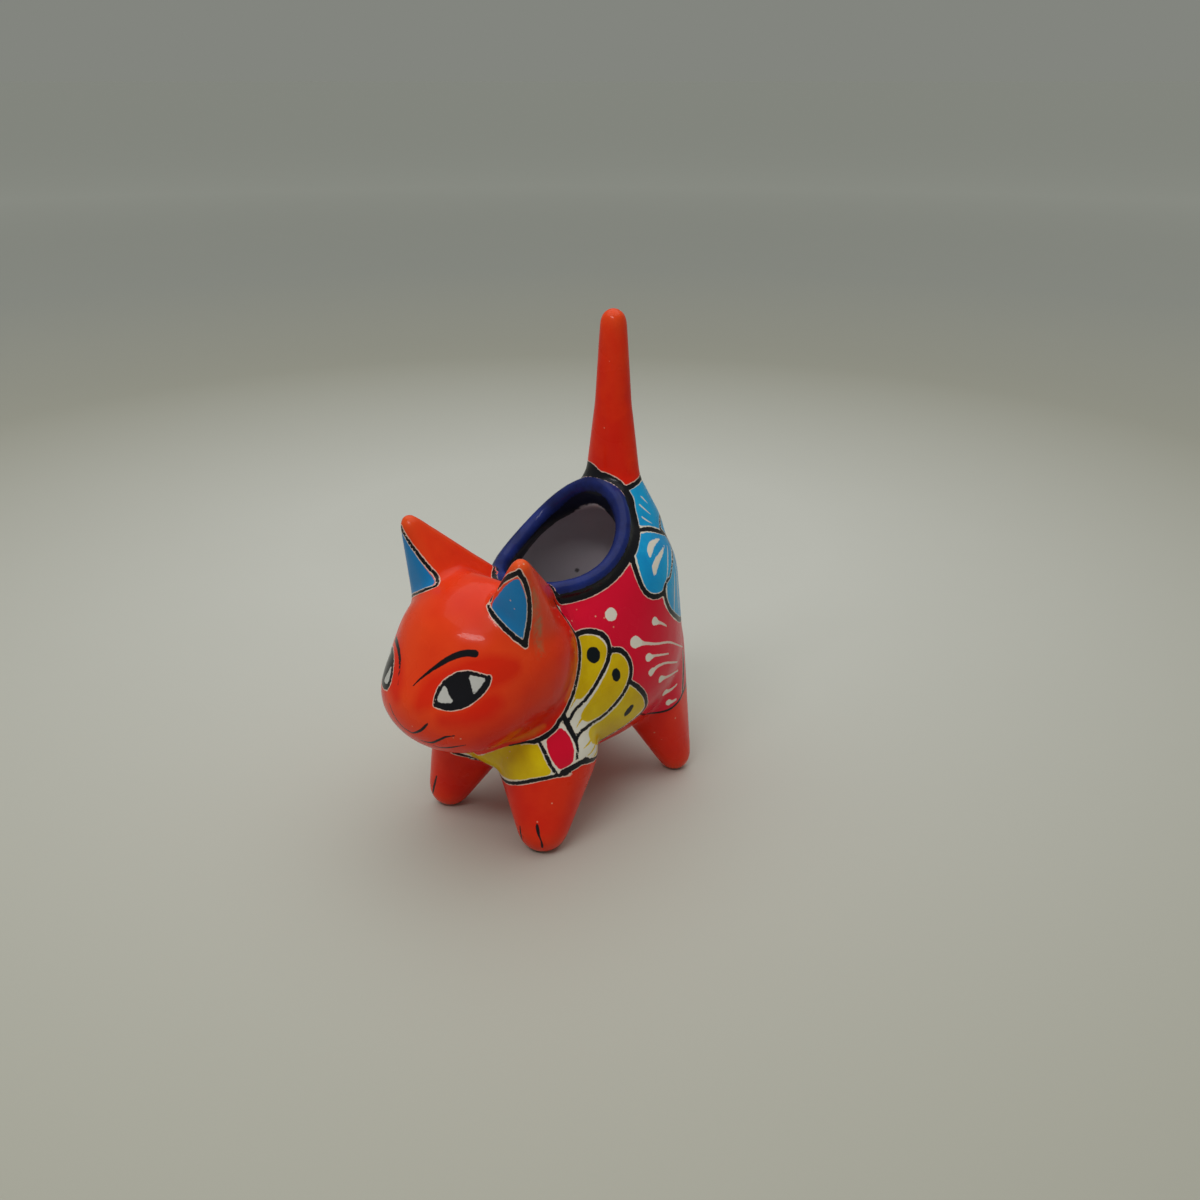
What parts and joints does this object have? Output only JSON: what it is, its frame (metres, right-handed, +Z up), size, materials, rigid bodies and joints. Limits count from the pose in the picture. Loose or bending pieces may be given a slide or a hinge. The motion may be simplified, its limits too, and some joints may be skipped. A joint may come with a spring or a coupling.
{
  "type": "cat planter",
  "caption": "Small ceramic planter in the shape of a standing cat, hollow, with an open rolled-rim mouth in its back and an upright tail.",
  "frame": {"origin": "on the floor plane, at the middle of the rectangle that the cat covers", "axes": "+Z up; the cat looks along -Y and its left side is at +X"},
  "size_m": [0.0658, 0.1233, 0.1663],
  "materials": {
    "glaze": "glossy fired glaze over painted earthenware"
  },
  "bodies": {
    "root": {"cat_planter": "glaze"}
  },
  "joints": []
}
